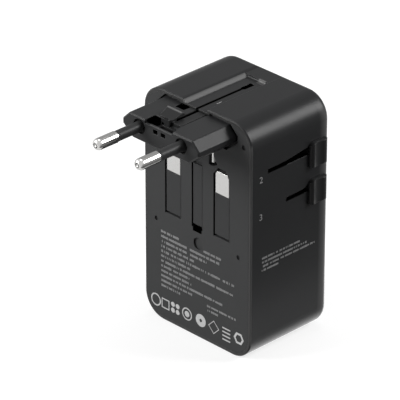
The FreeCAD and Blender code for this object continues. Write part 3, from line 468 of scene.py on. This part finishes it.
def make_printed_rows_tree():
    """Rows of small ink strokes, in words of uneven length, that say nothing."""
    tree, given, result = new_group("printed_rows", "GeometryNodeTree", [
        ("Rows", "NodeSocketInt", 12),
        ("Strokes", "NodeSocketInt", 40),
        ("Row Pitch", "NodeSocketFloat", 1.5 * MM),
        ("Stroke Pitch", "NodeSocketFloat", 0.6 * MM),
        ("Stroke Width", "NodeSocketFloat", 0.3 * MM),
        ("Stroke Height", "NodeSocketFloat", 0.7 * MM),
        ("Ink Thickness", "NodeSocketFloat", INK_THICKNESS),
        ("Shortest Row", "NodeSocketFloat", 0.4),
        ("Space Chance", "NodeSocketFloat", 0.16),
        ("Seed", "NodeSocketInt", 1),
        ("Place", "NodeSocketVector", (0, 0, 0)),
        ("Turn", "NodeSocketVector", (0, 0, 0)),
        ("Ink", "NodeSocketMaterial", None),
    ], [("Geometry", "NodeSocketGeometry")])
    width = maths(tree, "MULTIPLY", maths(tree, "SUBTRACT", given.outputs["Strokes"], 1.0),
                  given.outputs["Stroke Pitch"])
    height = maths(tree, "MULTIPLY", maths(tree, "SUBTRACT", given.outputs["Rows"], 1.0),
                   given.outputs["Row Pitch"])
    grid = add_node(tree, "GeometryNodeMeshGrid", {
        "Size X": width, "Size Y": height, "Vertices X": given.outputs["Strokes"],
        "Vertices Y": given.outputs["Rows"]})
    index = add_node(tree, "GeometryNodeInputIndex").outputs[0]
    row = maths(tree, "MODULO", index, given.outputs["Rows"])
    column = maths(tree, "FLOOR", maths(tree, "DIVIDE", index, given.outputs["Rows"]))
    row_length = add_node(tree, "FunctionNodeRandomValue", {
        2: given.outputs["Shortest Row"], 3: 1.0, "ID": row, "Seed": given.outputs["Seed"]})
    last = maths(tree, "MULTIPLY", row_length.outputs[1], given.outputs["Strokes"])
    beyond = maths(tree, "GREATER_THAN", column, last)
    space = add_node(tree, "FunctionNodeRandomValue", {
        "Probability": given.outputs["Space Chance"], "ID": index, "Seed": given.outputs["Seed"],
    }, data_type="BOOLEAN")
    left_out = maths(tree, "MAXIMUM", beyond, space.outputs[3])
    kept = add_node(tree, "GeometryNodeDeleteGeometry", {
        "Geometry": grid.outputs["Mesh"], "Selection": left_out}, domain="POINT")
    stroke_size = add_node(tree, "ShaderNodeCombineXYZ", {
        "X": given.outputs["Stroke Width"], "Y": given.outputs["Stroke Height"],
        "Z": given.outputs["Ink Thickness"]})
    stroke = add_node(tree, "GeometryNodeMeshCube", {"Size": stroke_size.outputs[0]})
    tall = add_node(tree, "FunctionNodeRandomValue", {
        2: SHORTEST_STROKE, 3: 1.0, "ID": index, "Seed": given.outputs["Seed"]})
    stretch = add_node(tree, "ShaderNodeCombineXYZ", {"X": 1.0, "Y": tall.outputs[1], "Z": 1.0})
    strokes = add_node(tree, "GeometryNodeInstanceOnPoints", {
        "Points": kept.outputs[0], "Instance": stroke.outputs["Mesh"], "Scale": stretch.outputs[0]})
    real = add_node(tree, "GeometryNodeRealizeInstances", {0: strokes.outputs[0]})
    placed = add_node(tree, "GeometryNodeTransform", {
        "Geometry": real.outputs[0], "Translation": given.outputs["Place"],
        "Rotation": given.outputs["Turn"]})
    inked = add_node(tree, "GeometryNodeSetMaterial", {
        "Geometry": placed.outputs[0], "Material": given.outputs["Ink"]})
    tree.links.new(inked.outputs[0], result.inputs["Geometry"])
    return tree


def place_object(name, data):
    """A new object in the scene, at the origin."""
    placed = bpy.data.objects.new(name, data)
    bpy.context.scene.collection.objects.link(placed)
    return placed


def new_piece(name, mesh, body, material):
    """A finished piece of the object, riding on its body."""
    piece = place_object(name, mesh)
    if not mesh.materials:
        mesh.materials.append(material)
    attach(piece, body)
    return piece


def finished_mesh(name, builder):
    """A plain mesh from a bmesh, with outward normals and its sharp edges marked."""
    bmesh.ops.recalc_face_normals(builder, faces=builder.faces)
    mesh = bpy.data.meshes.new(name)
    builder.to_mesh(mesh)
    builder.free()
    mesh.shade_smooth()
    mesh.set_sharp_from_angle(angle=SHARP_ANGLE)
    return mesh


def grow(tree, values):
    """The plain mesh that a Geometry Nodes tree makes from named values."""
    carrier = place_object("carrier", bpy.data.meshes.new("carrier"))
    modifier = carrier.modifiers.new("grow", "NODES")
    modifier.node_group = tree
    sockets = {item.name: item.identifier for item in tree.interface.items_tree
               if item.in_out == "INPUT"}
    for name, value in values.items():
        modifier[sockets[name]] = value
    evaluated = carrier.evaluated_get(bpy.context.evaluated_depsgraph_get())
    mesh = bpy.data.meshes.new_from_object(evaluated)
    carrier.modifiers.remove(modifier)
    bpy.data.objects.remove(carrier)
    return mesh


PRINTED_ROWS = make_printed_rows_tree()
ON_TOP = Euler((0, 0, 0))
ON_PLUG_FACE = Euler((math.radians(90), 0, 0))
ON_RIGHT_WALL = Euler((math.radians(90), 0, math.radians(90)))


def printed_block(name, left_top, runs, row_pitch, stroke_height, turn, seed):
    """Unreadable print: each run is its row and where it starts and ends along that row, in mm."""
    builder = bmesh.new()
    for number, (row, start, end) in enumerate(runs):
        strokes = max(2, int((end - start) * MM / STROKE_PITCH))
        middle = Vector(((start + end) / 2 * MM, -row * row_pitch, 0))
        middle.rotate(turn)
        mesh = grow(PRINTED_ROWS, {
            "Rows": 1, "Strokes": strokes, "Row Pitch": row_pitch, "Stroke Pitch": STROKE_PITCH,
            "Stroke Width": STROKE_SHARE * STROKE_PITCH, "Stroke Height": stroke_height,
            "Ink Thickness": INK_THICKNESS, "Shortest Row": 1.0, "Space Chance": SPACE_CHANCE,
            "Seed": seed + number, "Place": tuple(Vector(left_top) + middle), "Turn": tuple(turn),
            "Ink": ROW_INK,
        })
        builder.from_mesh(mesh)
        bpy.data.meshes.remove(mesh)
    mesh = bpy.data.meshes.new(name)
    builder.to_mesh(mesh)
    builder.free()
    new_piece(name, mesh, "casing", ROW_INK)


FACE_RUNS = ((0, 0, 8.4), (0, 19.7, 27.8), (1, 0, 12.0), (1, 13.3, 27.5), (2, 0, 12.0), (2, 13.4, 21.3),
             (3, 0, 15.5), (4, 0, 34.3), (5, 0, 13.6), (6, 0, 33.3), (7, 0, 13.3), (8, 0, 14.2),
             (9, 0, 28.8), (10, 0, 14.6), (11, 0, 9.4))
SMALL_FACE_RUNS = ((0, 0, 13.5), (0.9, 0.3, 5.7))
WALL_RUNS = ((0, 0, 17.5), (1, 0, 20.7), (2, 0, 24.4), (3, 0, 7.7))
printed_block("face_print", (-16.9 * MM, PLUG_FACE_Y, 32.9 * MM), FACE_RUNS,
              row_pitch=1.82 * MM, stroke_height=1.0 * MM, turn=ON_PLUG_FACE, seed=7)
printed_block("face_print_small", (4.3 * MM, PLUG_FACE_Y, 13.5 * MM), SMALL_FACE_RUNS,
              row_pitch=1.8 * MM, stroke_height=0.85 * MM, turn=ON_PLUG_FACE, seed=40)
printed_block("wall_print", (RIGHT_WALL_X, PLUG_FACE_Y + 4.7 * MM, 36.8 * MM), WALL_RUNS,
              row_pitch=1.46 * MM, stroke_height=0.8 * MM, turn=ON_RIGHT_WALL, seed=60)


def legend(name, text, place, turn):
    """A plain numeral in ink, standing proud by the ink's thickness."""
    curve = bpy.data.curves.new(name, "FONT")
    curve.body = text
    curve.size = NUMERAL_HEIGHT
    curve.extrude = INK_THICKNESS / 2
    curve.align_x = "CENTER"
    curve.align_y = "CENTER"
    writer = place_object(name + "_writer", curve)
    evaluated = writer.evaluated_get(bpy.context.evaluated_depsgraph_get())
    mesh = bpy.data.meshes.new_from_object(evaluated)
    bpy.data.objects.remove(writer)
    mesh.transform(turn.to_matrix().to_4x4())
    mesh.transform(Matrix.Translation(place))
    mesh.materials.clear()
    new_piece(name, mesh, "casing", ROW_INK)


legend("eu_numeral", "1", (2.0 * MM, PLUG_FACE_Y + 7.6 * MM, SHELL_TOP_Z - CHANNEL_DEPTH), ON_TOP)
legend("us_numeral", "2", (RIGHT_WALL_X, PLUG_FACE_Y + 4.2 * MM, 65.2 * MM), ON_RIGHT_WALL)
legend("uk_numeral", "3", (RIGHT_WALL_X, PLUG_FACE_Y + 4.2 * MM, 51.9 * MM), ON_RIGHT_WALL)


def add_plate(builder, outline, hole=None):
    """A thin inked plate in the XY plane from an outline, with a hole that has as many corners."""
    rings = [ring for ring in (outline, hole) if ring]
    lower = [[builder.verts.new((x, y, 0)) for x, y in ring] for ring in rings]
    upper = [[builder.verts.new((x, y, INK_THICKNESS)) for x, y in ring] for ring in rings]
    for low, high in zip(lower, upper):
        for k in range(len(low)):
            builder.faces.new((low[k - 1], low[k], high[k], high[k - 1]))
    for layer in (lower, upper):
        if hole:
            for k in range(len(outline)):
                builder.faces.new((layer[0][k - 1], layer[0][k], layer[1][k], layer[1][k - 1]))
        else:
            builder.faces.new(layer[0])


def polygon(x, y, radius, sides, turn):
    """Corners of a regular polygon, from its centre and radius in mm and a turn in degrees."""
    angles = [math.radians(turn) + 2 * math.pi * k / sides for k in range(sides)]
    return [((x + radius * math.cos(a)) * MM, (y + radius * math.sin(a)) * MM) for a in angles]


def oblong(x, y, width, height):
    """Corners of an upright rectangle, from its centre and size in mm."""
    corners = ((-1, -1), (1, -1), (1, 1), (-1, 1))
    return [((x + i * width / 2) * MM, (y + j * height / 2) * MM) for i, j in corners]


# Each mark has its centre along and up the plug face, its sides, its turn, and its outer and inner radius.
FACE_MARKS = (
    (-19.4, 6.3, 32, 0, 2.3, 1.8),      # ring
    (-14.9, 6.3, 4, 45, 2.6, 2.0),      # square frame
    (-11.4, 5.4, 20, 0, 0.9, None),     # four dots
    (-11.4, 7.6, 20, 0, 0.9, None),
    (-9.2, 5.4, 20, 0, 0.9, None),
    (-9.2, 7.6, 20, 0, 0.9, None),
    (-4.8, 6.6, 32, 0, 2.3, 1.85),      # ring round a disc
    (-4.8, 6.6, 24, 0, 1.1, None),
    (1.6, 6.8, 32, 0, 2.3, 0.6),        # disc with a hole
    (7.6, 6.7, 4, 0, 2.5, 2.15),        # diamond frame
    (19.1, 7.2, 6, 0, 2.3, 1.45),       # hexagon ring
)
BARS_X, BAR_WIDTH, BAR_HEIGHT = 13.4, 3.6, 0.5
BAR_ROWS = (8.4, 7.0, 5.6, 4.2)


def make_face_marks():
    """A row of plain printed shapes along the foot of the plug face."""
    builder = bmesh.new()
    for x, y, sides, turn, outer, inner in FACE_MARKS:
        hole = polygon(x, y, inner, sides, turn) if inner else None
        add_plate(builder, polygon(x, y, outer, sides, turn), hole)
    for y in BAR_ROWS:
        add_plate(builder, oblong(BARS_X, y, BAR_WIDTH, BAR_HEIGHT))
    mesh = finished_mesh("face_marks", builder)
    mesh.transform(Matrix.Translation((0, PLUG_FACE_Y, 0)) @ ON_PLUG_FACE.to_matrix().to_4x4())
    new_piece("face_marks", mesh, "casing", MARK_INK)


make_face_marks()


# ---------------------------------------------------------------- dressed pieces
def revolve(builder, profile, x, z):
    """A turned solid about a line along Y from (radius, y) points, which start and end on that line."""
    angles = [2 * math.pi * k / TURNED_SEGMENTS for k in range(TURNED_SEGMENTS)]
    rings = []
    for radius, y in profile:
        if radius == 0:
            rings.append([builder.verts.new((x, y, z))])
        else:
            rings.append([builder.verts.new((x + radius * math.cos(a), y, z + radius * math.sin(a)))
                          for a in angles])
    for first, second in zip(rings, rings[1:]):
        for k in range(TURNED_SEGMENTS):
            corners = (first[k - 1] if len(first) > 1 else first[0], first[k] if len(first) > 1 else None,
                       second[k] if len(second) > 1 else second[0],
                       second[k - 1] if len(second) > 1 else None)
            builder.faces.new([corner for corner in corners if corner])


COLLAR_LENGTH = 0.9 * MM
COLLAR_RADIUS = 1.8 * MM
COLLAR_BEVEL = 0.02 * MM
SHANK_RADIUS = 1.0 * MM
DOME_FLAT = 0.8 * MM
DOME_DEPTH = 1.5 * MM
DOME_STEPS = 10


def make_turned_pins():
    """The European pins, domed round the small centre that the lathe leaves, and their sleeves' collars."""
    low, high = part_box("eu_pins")
    radius = (high.z - low.z) / 2
    middle = (low.z + high.z) / 2
    sleeve_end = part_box("eu_pin_sleeves")[0].y
    tip = low.y
    lathe_centre = [(0, tip + 0.45 * MM), (0.38 * MM, tip + 0.25 * MM), (0.5 * MM, tip)]
    dome = [(DOME_FLAT, tip)]
    for step in range(1, DOME_STEPS + 1):
        angle = math.radians(90 * step / DOME_STEPS)
        dome.append((DOME_FLAT + (radius - DOME_FLAT) * math.sin(angle),
                     tip + DOME_DEPTH * (1 - math.cos(angle))))
    collar_end = sleeve_end - COLLAR_LENGTH
    shank = [(radius, collar_end), (SHANK_RADIUS, collar_end), (SHANK_RADIUS, high.y), (0, high.y)]
    collar = [(0, collar_end), (COLLAR_RADIUS / 2, collar_end), (COLLAR_RADIUS - COLLAR_BEVEL, collar_end),
              (COLLAR_RADIUS, collar_end + COLLAR_BEVEL), (COLLAR_RADIUS, sleeve_end),
              (COLLAR_RADIUS / 2, sleeve_end), (0, sleeve_end)]
    metal_parts, collars = bmesh.new(), bmesh.new()
    for x in (low.x + radius, high.x - radius):
        revolve(metal_parts, lathe_centre + dome + shank, x, middle)
        revolve(collars, collar, x, middle)
    piece = new_piece("eu_turned_pins", finished_mesh("eu_turned_pins", metal_parts), "eu_plug",
                      MATERIALS["nickel_plate"])
    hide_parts("eu_pins")
    new_piece("eu_sleeve_collars", finished_mesh("eu_sleeve_collars", collars), "eu_plug",
              MATERIALS["sleeve_plastic"])


LINE_PIN_X = 11.1
LINE_SLOT_HALF = 3.575
EARTH_SLOT_HALF = 2.4
LIPS_LOW, LINE_LIP_HIGH, EARTH_LIP_HIGH = 40.9, 62.8, 71.5
# across the slot and into the plug face, in mm from the slot's right side
LIP_OUTLINE = ((0.1, 0.0), (-0.2, 0.0), (-0.29, 0.12), (-0.29, 1.3), (0.1, 1.6))


def make_slot_lips():
    """Soft lips along the right side of the three pin slots, which close on the folded pins."""
    slots = ((-LINE_PIN_X + LINE_SLOT_HALF, LINE_LIP_HIGH), (LINE_PIN_X + LINE_SLOT_HALF, LINE_LIP_HIGH),
             (EARTH_SLOT_HALF, EARTH_LIP_HIGH))
    builder = bmesh.new()
    for side, high in slots:
        ends = [[builder.verts.new(((side + x) * MM, PLUG_FACE_Y + y * MM, z * MM)) for x, y in LIP_OUTLINE]
                for z in (LIPS_LOW, high)]
        for end in ends:
            builder.faces.new(end)
        for k in range(len(LIP_OUTLINE)):
            builder.faces.new((ends[0][k - 1], ends[0][k], ends[1][k], ends[1][k - 1]))
    new_piece("pin_slot_lips", finished_mesh("pin_slot_lips", builder), "casing",
              MATERIALS["face_plastic"])


make_turned_pins()
make_slot_lips()


# ---------------------------------------------------------------- stage
FLOOR_SIZE = 8.0
FLOOR_DROP = 0.1 * MM
FLOOR_GREY = (0.36, 0.36, 0.36, 1)
FLOOR_GLOW = 0.72
FAR_GLOW = 0.28
FAR_START, FAR_END = 0.3, 1.0
WORLD_LIGHT = 0.12
SOFTBOX_DISTANCE = 0.9
MIDDLE = Vector((0, 0, SHELL_TOP_Z / 2))


def aimed(name, data, way, distance, target):
    """A lamp or camera that stands off from the target along one way and faces it."""
    holder = place_object(name, data)
    holder.location = target + way * distance
    holder.rotation_euler = way.to_track_quat("Z", "Y").to_euler()
    return holder


def area_light(name, direction, size, power):
    """A square softbox that faces the middle of the adapter."""
    lamp = bpy.data.lights.new(name, "AREA")
    lamp.shape = "SQUARE"
    lamp.size = size
    lamp.energy = power
    aimed(name, lamp, Vector(direction).normalized(), SOFTBOX_DISTANCE, MIDDLE)


def white_for_lookers(tree):
    """1 for rays from the camera and for mirrored or refracted ones, else 0."""
    path = tree.nodes.new("ShaderNodeLightPath")
    mirrored = maths(tree, "MAXIMUM", path.outputs["Is Glossy Ray"], path.outputs["Is Transmission Ray"])
    return maths(tree, "MAXIMUM", path.outputs["Is Camera Ray"], mirrored)


def make_floor():
    """Pale paper just under the base, white all the way out and clear from below."""
    bpy.ops.mesh.primitive_plane_add(size=FLOOR_SIZE)
    floor = bpy.context.object
    floor.name = "floor"
    floor.location.z = -FLOOR_DROP
    material, tree, output = bare_material("floor_paper")
    paper = add_node(tree, "ShaderNodeBsdfPrincipled", {
        "Base Color": FLOOR_GREY, "Roughness": 0.9, "Specular IOR Level": 0.0})
    distance = add_node(tree, "ShaderNodeVectorMath", {0: object_place(tree)}, operation="LENGTH")
    far = ramp(tree, distance.outputs["Value"], FAR_START, FAR_END, 0.0, FAR_GLOW)
    seen = tree.nodes.new("ShaderNodeLightPath").outputs["Is Camera Ray"]
    near_white = maths(tree, "MULTIPLY", white_for_lookers(tree), FLOOR_GLOW)
    glow = add_node(tree, "ShaderNodeEmission", {
        "Strength": maths(tree, "MULTIPLY_ADD", far, seen, near_white)})
    both = add_node(tree, "ShaderNodeAddShader", {0: paper.outputs[0], 1: glow.outputs[0]})
    under = add_node(tree, "ShaderNodeNewGeometry").outputs["Backfacing"]
    clear = tree.nodes.new("ShaderNodeBsdfTransparent")
    one_way = add_node(tree, "ShaderNodeMixShader", {0: under, 1: both.outputs[0], 2: clear.outputs[0]})
    tree.links.new(one_way.outputs[0], output.inputs["Surface"])
    floor.data.materials.append(material)


def lying(x0, y0, x1, y1, z):
    """Corners of a level card, in mm."""
    return (x0, y0, z), (x1, y0, z), (x1, y1, z), (x0, y1, z)


def standing(x0, y0, x1, y1, height):
    """Corners of a card that stands on the floor, in mm."""
    return (x0, y0, 0), (x1, y1, 0), (x1, y1, height), (x0, y0, height)


def flag(name, corners, glow):
    """A card that only mirrored rays meet, so that metal and gloss show the right lights and darks."""
    mesh = bpy.data.meshes.new(name)
    mesh.from_pydata([Vector(corner) * MM for corner in corners], [], [(0, 1, 2, 3)])
    material, tree, output = bare_material(name)
    light = add_node(tree, "ShaderNodeEmission", {"Color": WHITE, "Strength": glow})
    tree.links.new(light.outputs[0], output.inputs["Surface"])
    mesh.materials.append(material)
    card = place_object(name, mesh)
    card.visible_camera = False
    card.visible_diffuse = False
    card.visible_transmission = False
    card.visible_shadow = False


def make_world():
    """White to look at, with only a little light of its own."""
    world = bpy.data.worlds.new("studio")
    world.use_nodes = True
    bpy.context.scene.world = world
    tree = world.node_tree
    tree.nodes.clear()
    strength = ramp(tree, white_for_lookers(tree), 0.0, 1.0, WORLD_LIGHT, 1.0)
    light = add_node(tree, "ShaderNodeBackground", {"Color": WHITE, "Strength": strength})
    output = tree.nodes.new("ShaderNodeOutputWorld")
    tree.links.new(light.outputs[0], output.inputs["Surface"])


def make_camera(azimuth, elevation, distance, lens, target):
    """The camera, at an azimuth from -Y towards +X and an elevation, both in degrees."""
    a, e = math.radians(azimuth), math.radians(elevation)
    back = Vector((math.sin(a) * math.cos(e), -math.cos(a) * math.cos(e), math.sin(e)))
    camera = bpy.data.cameras.new("camera")
    camera.lens = lens
    camera.sensor_width = 36.0
    camera.clip_start = 0.05
    bpy.context.scene.camera = aimed("camera", camera, back, distance, target)


bpy.context.scene.view_settings.view_transform = "Standard"
make_floor()
make_world()
# dim the floor and the far side of the room, as the right wall mirrors them
flag("low_flag", lying(52, -150, 900, 900, 0.5), glow=0.2)
flag("right_flag", standing(500, -250, -150, 700, 150), glow=0.42)
# dims what the top mirrors
flag("back_flag", standing(-1200, 435, 230, 435, 1200), glow=0.5)
# dark edges and dark tips on the European pins
flag("rim_flag", lying(-190, -10, -50, 150, 1), glow=0.02)
flag("tip_flag", lying(-155, -200, -70, -128, 1), glow=0.02)
# light along the rounded foot of the right wall
flag("foot_reflector", lying(8, -17, 27, 75, -0.05), glow=2.1)
area_light("key_softbox", (-0.75, -1.0, 0.6), size=0.5, power=9.5)
area_light("top_softbox", (-0.1, 0.2, 1.0), size=0.5, power=1.7)
area_light("rim_softbox", (0.57, 0.62, 0.53), size=0.42, power=7.5)
make_camera(azimuth=45.623, elevation=27.969, distance=1.24258, lens=341.6,
            target=Vector((-17.155 * MM, 0.25 * MM, 37.351 * MM)))
